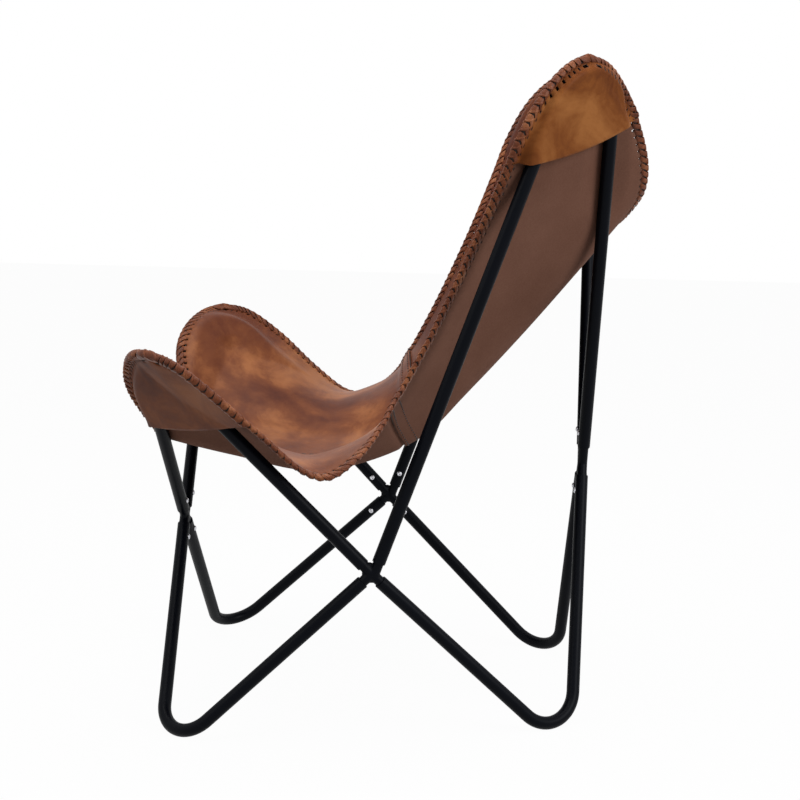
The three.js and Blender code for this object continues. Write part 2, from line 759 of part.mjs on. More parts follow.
// Sling, cut clear of the bars that it lies over
function clearOfBars(geometry) {
  let solid = solidOf(geometry);
  for (const line of [leftLines.frontBar, leftLines.backBar]) {
    const thick = sweptTube(line, (tubeRadius + seatGap) / Math.cos(Math.PI / outerSides), 0);
    const cutter = solidOf(thick);
    solid = solid.subtract(cutter).subtract(cutter.mirror([1, 0, 0]));
  }
  return geometryOf(solid);
}
place("seat_panel_left", clearOfBars(seatHalf(1)), tanLeather);
place("seat_panel_right", clearOfBars(seatHalf(-1)), tanLeather);
place("back_panel", clearOfBars(backPanel()), tanLeather);
const frontPocket = pocketGeometry(carriers[0],
  pocketRim(alongTrim, frontPocketEdgeShare, frontPocketSideShare));
const backPocket = pocketGeometry(carriers[1],
  pocketRim(1 - alongTrim, backPocketEdgeShare, backPocketSideShare));
placePair("front_pocket", frontPocket, pocketLeather);
placePair("back_pocket", backPocket, pocketLeather);

// Laced edges, one run for each side of the sling
let runStart = 0;
for (const [name, run] of Object.entries(edgeRuns)) {
  place(name, edgeRoll(runStart, run.length), laceLeather);
  runStart += run.length - 1;
}

// The origin lies on the floor, under the middle of the whole chair
const extent = new THREE.Box3().setFromObject(chair);
chair.position.y = -extent.getCenter(new THREE.Vector3()).y;

export default chair;
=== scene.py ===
import math

import bmesh
import bpy
import numpy as np
from mathutils import Matrix, Vector


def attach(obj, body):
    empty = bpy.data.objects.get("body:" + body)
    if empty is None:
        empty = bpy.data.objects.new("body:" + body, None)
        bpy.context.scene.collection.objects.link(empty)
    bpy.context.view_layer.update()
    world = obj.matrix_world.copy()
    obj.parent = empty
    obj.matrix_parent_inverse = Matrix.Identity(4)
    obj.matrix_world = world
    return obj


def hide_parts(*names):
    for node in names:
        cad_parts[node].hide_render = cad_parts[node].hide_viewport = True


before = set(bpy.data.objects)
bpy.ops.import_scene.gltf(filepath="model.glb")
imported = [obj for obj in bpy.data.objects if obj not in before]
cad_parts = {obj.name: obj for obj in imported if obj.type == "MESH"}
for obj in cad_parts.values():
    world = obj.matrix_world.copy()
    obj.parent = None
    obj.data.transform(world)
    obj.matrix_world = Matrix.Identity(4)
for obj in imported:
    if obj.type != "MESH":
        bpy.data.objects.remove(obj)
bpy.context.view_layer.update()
scene = bpy.context.scene
scene.view_settings.view_transform = "Standard"


# The view: the chair is seen from the sitter's left, a little from above, so its
# nearer side is the +X one and it faces left in the picture.
eye = Vector((2.4419, 0.10065, 0.8209))
looked_at = Vector((0.0, -0.01045, 0.534375))
yaw, pitch, roll = -0.009978, -0.03426, -0.021809
ahead = (looked_at - eye).normalized()
sideways = ahead.cross(Vector((0, 0, 1))).normalized()
upwards = sideways.cross(ahead)
level = Matrix((sideways, upwards, ahead))
turned = (
    Matrix.Rotation(roll, 3, "Z") @ Matrix.Rotation(pitch, 3, "X") @ Matrix.Rotation(yaw, 3, "Y") @ level
)
camera = bpy.data.objects.new("camera", bpy.data.cameras.new("camera"))
camera.data.lens = 72
camera.data.sensor_width = 36
camera.matrix_world = (
    Matrix.Translation(eye) @ Matrix((turned[0], turned[1], -turned[2])).transposed().to_4x4()
)
scene.collection.objects.link(camera)
scene.camera = camera


# Daylight studio: a white room, one broad soft lamp overhead and one on each side
# of the viewer. None of it is part of the chair.
class Wire:
    """A socket of a material. Sums of wires and numbers become Math nodes."""

    def __init__(self, tree, socket=None):
        self.tree = tree
        self.socket = socket

    def node(self, kind, settings=None, output=0, **values):
        made = self.tree.nodes.new(kind)
        for name, value in (settings or {}).items():
            if name == "stops":
                while len(made.color_ramp.elements) < len(value):
                    made.color_ramp.elements.new(0.5)
                for element, (place, colour) in zip(made.color_ramp.elements, value):
                    element.position = place
                    element.color = (*colour, 1)
            else:
                setattr(made, name, value)
        for name, value in values.items():
            socket = made.inputs[int(name[1:])] if name[1:].isdigit() else made.inputs[name.replace("_", " ")]
            if isinstance(value, Wire):
                self.tree.links.new(value.socket, socket)
            elif isinstance(value, tuple) and socket.type == "RGBA":
                socket.default_value = (*value, 1)
            else:
                socket.default_value = value
        return Wire(self.tree, made.outputs[output] if made.outputs else None)

    def sum(self, operation, first, second):
        return self.node("ShaderNodeMath", {"operation": operation}, i0=first, i1=second)

    def __add__(self, other):
        return self.sum("ADD", self, other)

    __radd__ = __add__

    def __mul__(self, other):
        return self.sum("MULTIPLY", self, other)

    __rmul__ = __mul__

    def clamped(self, low, high):
        return self.node("ShaderNodeMapRange", {"clamp": True}, Value=self, From_Min=low, From_Max=high)


def new_material(name):
    material = bpy.data.materials.new(name)
    material.use_nodes = True
    material.node_tree.nodes.clear()
    return material, Wire(material.node_tree)


def finish_material(start, surface):
    start.node("ShaderNodeOutputMaterial", Surface=surface)


world = bpy.data.worlds.new("studio")
scene.world = world
world.use_nodes = True
world.node_tree.nodes.clear()
air = Wire(world.node_tree)
white_rays = ("Is Camera Ray", "Is Glossy Ray", "Is Transmission Ray")
seen = sum(air.node("ShaderNodeLightPath", output=ray) for ray in white_rays)
room = air.node("ShaderNodeBackground", Color=(0.93, 0.96, 1.0), Strength=0.26)
backdrop = air.node("ShaderNodeBackground", Color=(1, 1, 1), Strength=1.0)
air.node("ShaderNodeOutputWorld", Surface=air.node("ShaderNodeMixShader", Fac=seen, i1=room, i2=backdrop))

lamps = {
    "lamp_overhead": ((0.2, -0.1, 2.6), (0, 0, 0.5), 2.2, 51, (1.0, 0.98, 0.96)),
    "lamp_left": ((1.7, -2.2, 2.0), (0, 0, 0.5), 1.5, 15, (1.0, 0.98, 0.96)),
    "lamp_right": ((1.5, 2.3, 1.7), (0, 0, 0.6), 1.4, 46, (0.95, 0.97, 1.0)),
}
for name, (place, target, size, power, colour) in lamps.items():
    lamp = bpy.data.objects.new(name, bpy.data.lights.new(name, "AREA"))
    lamp.data.size = size
    lamp.data.energy = power
    lamp.data.color = colour
    aim = (Vector(target) - Vector(place)).to_track_quat("-Z", "Y")
    lamp.matrix_world = Matrix.Translation(place) @ aim.to_matrix().to_4x4()
    scene.collection.objects.link(lamp)

floor_reach = 9
floor_white_share = 0.95
sheet = bmesh.new()
bmesh.ops.create_grid(sheet, x_segments=1, y_segments=1, size=floor_reach)
floor = bpy.data.objects.new("studio_floor", bpy.data.meshes.new("studio_floor"))
sheet.to_mesh(floor.data)
sheet.free()
scene.collection.objects.link(floor)
material, start = new_material("studio_floor")
seen = sum(start.node("ShaderNodeLightPath", output=ray) for ray in white_rays)
paint = start.node("ShaderNodeBsdfDiffuse", Color=(0.45, 0.45, 0.45))
white = start.node("ShaderNodeEmission", Color=(1, 1, 1), Strength=1.02)
finish_material(start, start.node("ShaderNodeMixShader", Fac=seen * floor_white_share, i1=paint, i2=white))
floor.data.materials.append(material)


# Eight bent tubes of 19 mm steel with a 1.5 mm wall, each bent once to a V: four
# legs that stand on their bends and four bars whose bends carry the sling. They are
# powder coated in satin black, and their open ends push over the arms of the crosses.
tube_radius = 0.0095
tube_wall = 0.0015
tube_sides = 40
tube_bend_steps = 32
tube_end_rounding = 0.0005
tube_lines = {  # end at the front or back cross, corner, end at the side cross, bend radius
    "front_leg": ((0.01218, -0.31884, 0.24616), (0.3, -0.30445, -0.03368), (0.26934, -0.0228, 0.23139), 0.053),
    "back_leg": ((0.00905, 0.29781, 0.34063), (0.196, 0.28255, -0.03872), (0.26503, 0.00161, 0.2314), 0.053),
    "front_bar": ((0.01202, -0.31995, 0.27002), (0.312, -0.33245, 0.57), (0.26962, -0.02233, 0.25506), 0.053),
    "back_bar": ((0.00937, 0.29893, 0.38628), (0.268, 0.30955, 1.139), (0.268, -0.001, 0.25903), 0.062),
}


def piece(name, mesh, material, replaced):
    """Puts a finished mesh in the scene as a piece of the chair."""
    obj = bpy.data.objects.new(name, bpy.data.meshes.new(name))
    mesh.to_mesh(obj.data)
    mesh.free()
    for each in material if isinstance(material, list) else [material]:
        obj.data.materials.append(each)
    scene.collection.objects.link(obj)
    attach(obj, "root")
    if replaced:
        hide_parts(*replaced)
    return obj


def smoothed(mesh):
    for face in mesh.faces:
        face.smooth = True


def bend_of(line, side=1):
    """Centre, ends, axis and turning of the round bend between a tube's straight runs."""
    end_a, corner, end_b = (Vector((side * p[0], p[1], p[2])) for p in line[:3])
    radius = line[3]
    to_a, to_b = (end_a - corner).normalized(), (end_b - corner).normalized()
    half = to_a.angle(to_b) / 2
    centre = corner + (to_a + to_b).normalized() * radius / math.sin(half)
    start = corner + to_a * radius / math.tan(half)
    finish = corner + to_b * radius / math.tan(half)
    axis = (start - centre).cross(finish - centre).normalized()
    return end_a, start, centre, axis, math.pi - 2 * half, finish, end_b


black, start = new_material("black_powder_coat")
spot = start.node("ShaderNodeTexCoord", output="Object")
speckle = start.node("ShaderNodeTexNoise", Vector=spot, Scale=1500.0, Detail=2.0, Roughness=0.5)
cloud = start.node("ShaderNodeTexNoise", Vector=spot, Scale=14.0, Detail=3.0, Roughness=0.6)
coat = start.node(
    "ShaderNodeMix", {"data_type": "RGBA"}, output="Result",
    Factor=cloud, i6=(0.0010, 0.0014, 0.0028), i7=(0.0022, 0.0030, 0.0056),
)
grain = start.node("ShaderNodeBump", Height=speckle, Strength=0.12, Distance=0.0004)
finish_material(start, start.node(
    "ShaderNodeBsdfPrincipled", Base_Color=coat, Roughness=0.34 + cloud * 0.12, Normal=grain,
    Specular_IOR_Level=0.06,
))

for name, line in tube_lines.items():
    for hand, side in (("left", 1), ("right", -1)):
        end_a, bend_start, centre, axis, turning, bend_end, end_b = bend_of(line, side)
        mesh = bmesh.new()
        facing = (bend_start - end_a).to_track_quat("Z", "Y").to_matrix().to_4x4()
        bmesh.ops.create_circle(
            mesh, segments=tube_sides, radius=tube_radius, matrix=Matrix.Translation(end_a) @ facing,
        )
        made = bmesh.ops.extrude_edge_only(mesh, edges=mesh.edges[:])["geom"]
        ring = [each for each in made if isinstance(each, bmesh.types.BMVert)]
        bmesh.ops.translate(mesh, verts=ring, vec=bend_start - end_a)
        ring_edges = [edge for edge in mesh.edges if all(v in set(ring) for v in edge.verts)]
        made = bmesh.ops.spin(
            mesh, geom=ring + ring_edges, cent=centre, axis=axis, angle=turning, steps=tube_bend_steps,
            use_merge=False,
        )["geom_last"]
        last_edges = [each for each in made if isinstance(each, bmesh.types.BMEdge)]
        made = bmesh.ops.extrude_edge_only(mesh, edges=last_edges)["geom"]
        ring = [each for each in made if isinstance(each, bmesh.types.BMVert)]
        bmesh.ops.translate(mesh, verts=ring, vec=end_b - bend_end)
        bmesh.ops.recalc_face_normals(mesh, faces=mesh.faces[:])
        for vert in mesh.verts:
            vert.co.z = max(vert.co.z, 0.0)  # worn flat where a leg stands on the floor
        smoothed(mesh)
        tube = piece(f"tube_{name}_{hand}", mesh, black, [f"{name}_{hand}"])
        wall = tube.modifiers.new("wall", "SOLIDIFY")
        wall.thickness = tube_wall
        wall.offset = -1
        rounded = tube.modifiers.new("rounded", "BEVEL")
        rounded.width = tube_end_rounding
        rounded.segments = 2
        rounded.limit_method = "ANGLE"
        rounded.angle_limit = math.radians(50)
        rounded.harden_normals = True


# Four crosses, each of four short round steel arms welded together at their middle,
# ground and powder coated with the tubes. The tubes push over the arms up to a short
# bare length, where the weld shows.
arm_radius = 0.00765
hidden_arm = 0.012
weld_radius = 0.0046
weld_bite = weld_radius / 3
widest_welded_angle = 0.65 * math.pi
melt_size = 0.0009
cross_roots = {  # the middle, the tubes that meet there, and which point of their lines does
    "front_cross": ((0, -0.31945, 0.258), ["front_leg", "front_bar"], 0),
    "back_cross": ((0, 0.29855, 0.359), ["back_leg", "back_bar"], 0),
    "side_cross": ((0.268, -0.01045, 0.243), ["front_leg", "back_leg", "front_bar", "back_bar"], 2),
}


def cross_piece(name, centre, ends, corners):
    """Four round arms and the weld beads between them, melted into one shape."""
    mesh = bmesh.new()
    bmesh.ops.create_icosphere(mesh, subdivisions=3, radius=arm_radius, matrix=Matrix.Translation(centre))
    directions = []
    for end, corner in zip(ends, corners):
        direction = (corner - end).normalized()
        directions.append(direction)
        root = end - direction * (end - centre).dot(direction)
        length = (end - root).length + hidden_arm
        facing = direction.to_track_quat("Z", "Y").to_matrix().to_4x4()
        bmesh.ops.create_cone(
            mesh, cap_ends=True, segments=tube_sides, radius1=arm_radius, radius2=arm_radius, depth=length,
            matrix=Matrix.Translation(root + direction * length / 2) @ facing,
        )
    for index, direction in enumerate(directions):
        for other in directions[index + 1:]:
            angle = direction.angle(other)
            if angle < widest_welded_angle:
                notch = arm_radius / math.sin(angle / 2) - weld_bite
                bead = Matrix.Translation(centre + (direction + other).normalized() * notch)
                bmesh.ops.create_icosphere(mesh, subdivisions=2, radius=weld_radius, matrix=bead)
    shape = bpy.data.objects.new(name, bpy.data.meshes.new(name))
    mesh.to_mesh(shape.data)
    mesh.free()
    scene.collection.objects.link(shape)
    melt = shape.modifiers.new("melt", "REMESH")
    melt.mode = "VOXEL"
    melt.voxel_size = melt_size
    melt.use_smooth_shade = True
    fillet = shape.modifiers.new("fillet", "SMOOTH")
    fillet.factor = 0.5
    fillet.iterations = 9
    shown = shape.evaluated_get(bpy.context.evaluated_depsgraph_get())
    melted = bmesh.new()
    melted.from_mesh(shown.to_mesh())
    smoothed(melted)
    bpy.data.objects.remove(shape)
    return melted


for name, (centre, tubes, end) in cross_roots.items():
    for hand, side in (("left", 1), ("right", -1)):
        if name != "side_cross" and side < 0:
            continue
        ends, corners = [], []
        for tube in tubes:
            mirrors = (side,) if name == "side_cross" else (1, -1)
            for mirror in mirrors:
                ends.append(Vector(tube_lines[tube][end]) * Vector((mirror, 1, 1)))
                corners.append(Vector(tube_lines[tube][1]) * Vector((mirror, 1, 1)))
        middle = Vector(centre) * Vector((side, 1, 1))
        node = f"{name}_{hand}" if name == "side_cross" else name
        piece(f"welded_{node}", cross_piece(node, middle, ends, corners), black, [node])


# Sixteen zinc plated pan-head screws, one through each tube end into its arm, on the
# side that faces into the chair. Each has a hexagon recess.
head_radius = 0.0041
head_height = 0.0026
recess_radius = 0.0016
recess_depth = 0.0013
head_sink = 0.0006
head_outline = ((1.0, 0.42), (0.93, 0.68), (0.78, 0.88), (0.6, 1.0))  # shares of its radius and height
screw_places = {  # the point on the tube's middle line, and the way the screw stands out
    "front_leg": ((0.02938, -0.31799, 0.22944), (-0.02569, 0.99936, 0.02497)),
    "front_bar": ((0.02898, -0.32066, 0.28698), (0.02082, 0.99957, 0.02082)),
    "back_leg": ((0.01966, 0.29694, 0.31912), (-0.01594, -0.99935, 0.03235)),
    "back_bar": ((0.01717, 0.29925, 0.40898), (0.00433, -0.99991, 0.01261)),
    "side_front_leg": ((0.27124, -0.04022, 0.21499), (-0.99687, -0.05754, -0.05415)),
    "side_back_leg": ((0.26085, 0.01865, 0.21502), (-0.98467, -0.12573, 0.12089)),
    "side_front_bar": ((0.27191, -0.03909, 0.27208), (-0.99544, -0.06696, 0.068)),
    "side_back_bar": ((0.268, 0.00699, 0.28166), (-1, 0, 0)),
}

zinc, start = new_material("zinc_plate")
spot = start.node("ShaderNodeTexCoord", output="Object")
tarnish = start.node("ShaderNodeTexNoise", Vector=spot, Scale=600.0, Detail=3.0)
plate = start.node(
    "ShaderNodeMix", {"data_type": "RGBA"}, output="Result",
    Factor=tarnish, i6=(0.42, 0.42, 0.45), i7=(0.72, 0.72, 0.75),
)
finish_material(start, start.node(
    "ShaderNodeBsdfPrincipled", Base_Color=plate, Roughness=0.24 + tarnish * 0.2, Metallic=1.0,
))


def screw_head(place):
    """A pan head from the rings of a 24-sided circle, with a six-sided hole in its top."""
    mesh = bmesh.new()
    bmesh.ops.create_circle(mesh, segments=24, radius=head_radius)
    edges = mesh.edges[:]
    reached = 1.0

    def next_ring(edges, reshape):
        made = bmesh.ops.extrude_edge_only(mesh, edges=edges)["geom"]
        for vert in (each for each in made if isinstance(each, bmesh.types.BMVert)):
            vert.co = reshape(vert.co)
        return [each for each in made if isinstance(each, bmesh.types.BMEdge)]

    for share, height_share in head_outline:
        factor, rise = share / reached, height_share * head_height
        edges = next_ring(edges, lambda co: Vector((co.x * factor, co.y * factor, rise)))
        reached = share

    def hexagon(co, depth):
        turn = math.atan2(co.y, co.x)
        sector = (turn % (math.pi / 3)) - math.pi / 6
        reach = recess_radius * math.cos(math.pi / 6) / math.cos(sector)
        return Vector((reach * math.cos(turn), reach * math.sin(turn), depth))

    edges = next_ring(edges, lambda co: hexagon(co, head_height))
    edges = next_ring(edges, lambda co: hexagon(co, head_height - recess_depth))
    bmesh.ops.contextual_create(mesh, geom=edges)
    bmesh.ops.contextual_create(mesh, geom=[edge for edge in mesh.edges if edge.is_boundary])
    bmesh.ops.recalc_face_normals(mesh, faces=mesh.faces[:])
    bmesh.ops.transform(mesh, matrix=place, verts=mesh.verts[:])
    for face in mesh.faces:
        face.smooth = len(face.verts) < 5
    return mesh


for name, (root, out) in screw_places.items():
    for hand, side in (("left", 1), ("right", -1)):
        node = f"screw_{hand}_{name[5:]}" if name.startswith("side_") else f"screw_{name}_{hand}"
        stands = Vector((side * out[0], out[1], out[2]))
        seat = Vector((side * root[0], root[1], root[2])) + stands * (tube_radius - head_sink)
        place = Matrix.Translation(seat) @ stands.to_track_quat("Z", "Y").to_matrix().to_4x4()
        piece(f"pan_head_{node}", screw_head(place), zinc, [node])


# The sling: saddle leather 3 mm thick, in a seat of two halves and a back, waxed tan
# above and suede below. It hangs by pockets from the bends of the bars, the halves of
# the seat lap over each other along the middle, and the seat laps over the back.
leather_thickness = 0.003
layer_rise = 0.0034
lift_reach = 0.050
bar_swell = 0.016
tube_gap = 0.0006
bearing = tube_radius + leather_thickness / 2 + tube_gap
row_count, column_count = 249, 99
narrowest = 0.004
hollow_front, hollow_back = 0.3, 0.6
rim_points = [
    (0.3458, -0.31107, 0.55711), (0.37498, -0.26699, 0.54619), (0.38489, -0.21106, 0.50622),
    (0.37696, -0.14597, 0.44651), (0.38489, -0.09271, 0.40445), (0.39084, -0.06075, 0.39926),
    (0.36903, -0.0285, 0.42107), (0.30981, 0.00142, 0.45919), (0.26206, 0.02742, 0.50969),
    (0.25787, 0.06162, 0.57889), (0.256, 0.09441, 0.65371), (0.25787, 0.12663, 0.73414),
    (0.28489, 0.15236, 0.80428), (0.30189, 0.17129, 0.85852), (0.29793, 0.1973, 0.90715),
    (0.27603, 0.23319, 0.94643), (0.24995, 0.26428, 0.96139),
]
top_points = [
    (0, 0.34004, 0.73695), (0.03494, 0.3471, 0.7463), (0.07501, 0.36519, 0.77996),
    (0.09993, 0.36717, 0.81363), (0.116, 0.36096, 0.84356), (0.14, 0.34598, 0.88284),
    (0.17494, 0.32618, 0.92305), (0.21104, 0.30018, 0.9511), (0.24995, 0.26428, 0.96139),
]
front_points = [
    (0, -0.35132, 0.38992), (0.06004, -0.34333, 0.39407), (0.11017, -0.3383, 0.40238),
    (0.14048, -0.34215, 0.41639), (0.16455, -0.35635, 0.4491), (0.18862, -0.36729, 0.48129),
    (0.21241, -0.36937, 0.50622), (0.25065, -0.36226, 0.53114), (0.29681, -0.34333, 0.54931),
    (0.3458, -0.31107, 0.55711),
]
middle_points = [
    (0, -0.35132, 0.38992), (0, -0.2371, 0.36915), (0, -0.13088, 0.35201), (0, -0.03057, 0.36603),
    (0, 0.04947, 0.4012), (0, 0.10543, 0.45638), (0, 0.18938, 0.5499), (0, 0.27729, 0.65745),
    (0, 0.34004, 0.73695),
]


class SmoothLine:
    """A smooth line through points, read by share of its length."""

    samples = 60

    def __init__(self, points):
        points = np.array(points, float)
        ends = [2 * points[0] - points[1], *points, 2 * points[-1] - points[-2]]
        run = []
        for p0, p1, p2, p3 in zip(ends, ends[1:], ends[2:], ends[3:]):
            d0, d1, d2 = (np.linalg.norm(b - a) ** 0.5 for a, b in ((p0, p1), (p1, p2), (p2, p3)))
            t1 = d1 * ((p1 - p0) / d0 - (p2 - p0) / (d0 + d1) + (p2 - p1) / d1)
            t2 = d1 * ((p2 - p1) / d1 - (p3 - p1) / (d1 + d2) + (p3 - p2) / d2)
            t = np.linspace(0, 1, self.samples, endpoint=False)[:, None]
            run.append(
                (2 * t**3 - 3 * t**2 + 1) * p1 + (t**3 - 2 * t**2 + t) * t1
                + (3 * t**2 - 2 * t**3) * p2 + (t**3 - t**2) * t2
            )
        self.run = np.vstack([*run, points[-1:]])
        self.lengths = np.r_[0, np.cumsum(np.linalg.norm(np.diff(self.run, axis=0), axis=1))]
        self.length = self.lengths[-1]

    def at(self, share):
        place = np.clip(share, 0, 1) * self.length
        return np.stack([np.interp(place, self.lengths, self.run[:, k]) for k in range(3)], -1)


def both_sides(points):
    return [(-x, y, z) for x, y, z in reversed(points[1:])] + points


rim = SmoothLine(rim_points)
middle = SmoothLine(middle_points)
top_edge = SmoothLine(both_sides(top_points))
front_edge = SmoothLine(both_sides(front_points))


def smoothstep(value, low, high):
    share = np.clip((value - low) / (high - low), 0, 1)
    return share * share * (3 - 2 * share)


def hammock(along, across):
    """The sheet as it hangs between its rim and its middle, before the bars lift it."""
    side, centre = rim.at(along), middle.at(along)
    power = 3 - np.clip((along - hollow_front) / (hollow_back - hollow_front), 0, 1)
    rise = (np.abs(across) ** power)[..., None]
    point = centre + (side - centre) * rise
    point[..., 0] = side[..., 0] * across
    return point


def bar_line(name):
    """A bar's middle line, and the way from it to the sitter."""
    end_a, bend_start, centre, axis, turning, _, end_b = bend_of(tube_lines[name])
    points = [end_a]
    for step in range(bar_steps + 1):
        points.append(centre + Matrix.Rotation(turning * step / bar_steps, 3, axis) @ (bend_start - centre))
    facing = axis * (-1 if axis.dot(Vector(cross_roots["side_cross"][0]) - seat_middle) > 0 else 1)
    return np.array([*points, end_b]), np.array(facing)


seat_middle = Vector(middle.at(np.array(0.5)))
bar_steps = 24
bars = [bar_line("front_bar"), bar_line("back_bar")]


def nearest_on(points, spots):
    """The nearest point of a bar's middle line to each spot, and how far it is."""
    distance = np.full(spots.shape[:-1], np.inf)
    closest = np.zeros(spots.shape)
    for first, second in zip(points, points[1:]):
        run = second - first
        share = np.clip(((spots - first) @ run) / (run @ run), 0, 1)
        found = first + share[..., None] * run
        away = np.linalg.norm(spots - found, axis=-1)
        nearer = away < distance
        distance = np.where(nearer, away, distance)
        closest = np.where(nearer[..., None], found, closest)
    return closest, distance


def sling_point(along, across):
    """The middle of the leather, lifted over the bars where it would touch them."""
    along, across = np.broadcast_arrays(np.asarray(along, float), np.asarray(across, float))
    side, across = np.where(across < 0, -1.0, 1.0), np.abs(across)
    point = hammock(along, across)
    front_pull = front_edge.at((across + 1) / 2) - hammock(np.zeros_like(along), across)
    top_pull = top_edge.at((across + 1) / 2) - hammock(np.ones_like(along), across)
    point = point + (1 - along)[..., None] ** 2 * front_pull + along[..., None] ** 3 * top_pull
    from_side = (1 - across) * point[..., 0] / np.maximum(across, narrowest)
    from_edge = np.minimum(from_side, np.minimum(along, 1 - along) * rim.length)
    for points, facing in bars:
        closest, distance = nearest_on(points, point)
        height = (point - closest) @ facing
        aside = np.sqrt(np.maximum(0, distance**2 - height**2))
        lift = np.maximum(0, bearing - height) * (1 - smoothstep(aside, bar_swell, lift_reach))
        point = point + (lift * smoothstep(from_edge, 0, bar_swell))[..., None] * facing
    point[..., 0] *= side
    return point


def sling_normal(along, across):
    """The way up from the leather, towards the sitter."""
    step = 0.004
    run = sling_point(np.minimum(1, along + step), across) - sling_point(np.maximum(0, along - step), across)
    span = sling_point(along, np.minimum(1, across + step)) - sling_point(along, np.maximum(-1, across - step))
    normal = np.cross(span, run)
    return normal / np.linalg.norm(normal, axis=-1, keepdims=True)


# Stations: rows from the front edge to the top, columns from side to side. Three rows
# or columns hold one lacing hole, and the two lines next to an edge keep the distances
# of the hole from it.
edge_trim = 0.0065
hole_near, hole_far = 0.0056, 0.0108
hole_step = 3
blend_rows = 12
probe_reach, probe_steps = 0.08, 160
along_trim = edge_trim / rim.length
across_trim = edge_trim / rim.at(np.array(0.5))[0]
rows = np.linspace(along_trim, 1 - along_trim, row_count + 1)
columns = np.linspace(-(1 - across_trim), 1 - across_trim, 2 * column_count + 1)


def inset_stations(stations, path, edge_run):
    """Moves the lines next to both ends of stations to the hole's distances from them."""
    placed = stations.copy()
    for flip in (False, True):
        line = placed[::-1] if flip else placed
        sign = -1 if flip else 1
        probe = line[0] + sign * np.linspace(0, probe_reach, probe_steps)
        points = path(probe)
        along_edge_line = edge_run(line[0])
        along_edge_line /= np.linalg.norm(along_edge_line)
        distance = np.linalg.norm(np.cross(points - points[0], along_edge_line), axis=1)
        distance = np.maximum.accumulate(distance)
        near, far = (np.interp(reach, distance, probe) for reach in (hole_near, hole_far))
        line[1], line[2] = near, far
        line[3:blend_rows] = far + (line[blend_rows] - far) * np.arange(1, blend_rows - 2) / (blend_rows - 2)
    return placed


edge_step = 0.003
across_at = np.array([
    inset_stations(
        columns, lambda probe, a=along: sling_point(a, probe),
        lambda end, a=along: sling_point(a + edge_step, end) - sling_point(a - edge_step, end),
    ) for along in rows
])
along_at = np.array([
    inset_stations(
        rows, lambda probe, c=across: sling_point(probe, c),
        lambda end, c=across: sling_point(end, c + edge_step) - sling_point(end, c - edge_step),
    ) for across in columns
]).T

seat_last, back_first, lap_columns = 117, 110, 3
lap_along = rows[seat_last] - rows[back_first]
lap_across = 2 * (columns[column_count + lap_columns] - columns[column_count])


def panel_mesh(first_row, last_row, first_column, last_column, rise):
    """A grid of leather between two rows and two columns of the sling, with its lacing holes."""
    height, width = last_row - first_row, last_column - first_column
    mesh = bmesh.new()
    bmesh.ops.create_grid(mesh, x_segments=width, y_segments=height, size=0.5)
    mesh.verts.index_update()
    verts = mesh.verts[:]
    row = np.array([round((v.co.y + 0.5) * height) for v in verts]) + first_row
    column = np.array([round((v.co.x + 0.5) * width) for v in verts]) + first_column
    along, across = along_at[row, column], across_at[row, column]
    normal = sling_normal(along, across)
    point = sling_point(along, across) + rise(along, across)[:, None] * normal
    for vert, place in zip(verts, point):
        vert.co = place
    smoothed(mesh)
    holes = []
    for face in mesh.faces:
        r = min(row[vert.index] for vert in face.verts)
        c = min(column[vert.index] for vert in face.verts)
        on_side = c in (1, 2 * column_count - 2) and r % hole_step == 1
        on_end = r in (1, row_count - 2) and c % hole_step == 1
        if on_side or on_end:
            holes.append(face)
    bmesh.ops.delete(mesh, geom=holes, context="FACES_ONLY")
    return mesh


def no_rise(along, across):
    return np.zeros_like(along)


def seat_rise(side):
    """How far a half of the seat lies above the layer that it laps over."""
    def rise(along, across):
        over_back = smoothstep(along, rows[back_first] - lap_along / 2, rows[back_first])
        over_left = smoothstep(across, -lap_across, -lap_across / 2) if side < 0 else 0
        return layer_rise * (over_back + over_left)
    return rise


leather_top, start = new_material("waxed_leather")
spot = start.node("ShaderNodeTexCoord", output="Object")
drift = start.node("ShaderNodeTexNoise", Vector=spot, Scale=5.5, Detail=3.0, Roughness=0.5, Distortion=0.9)
patch = start.node("ShaderNodeTexNoise", Vector=spot, Scale=15.0, Detail=5.0, Roughness=0.62, Distortion=0.5)
scuff = start.node("ShaderNodeTexNoise", Vector=spot, Scale=70.0, Detail=4.0, Roughness=0.7)
tone = (drift * 0.55 + patch * 0.35 + scuff * 0.10).clamped(0.36, 0.64)
tan = start.node("ShaderNodeValToRGB", {"stops": [
    (0.0, (0.070, 0.015, 0.007)), (0.35, (0.118, 0.030, 0.011)),
    (0.65, (0.190, 0.057, 0.020)), (1.0, (0.340, 0.125, 0.044)),
]}, Fac=tone)
pores = start.node("ShaderNodeTexVoronoi", {"feature": "SMOOTH_F1"}, Vector=spot, Scale=760.0)
creases = start.node("ShaderNodeTexNoise", Vector=spot, Scale=210.0, Detail=5.0, Roughness=0.65)
relief = start.node("ShaderNodeBump", Height=pores * 0.6 + creases, Strength=0.22, Distance=0.0008)
finish_material(start, start.node(
    "ShaderNodeBsdfPrincipled", Base_Color=tan, Roughness=0.32 + scuff * 0.22, Normal=relief,
    Specular_IOR_Level=0.12,
))

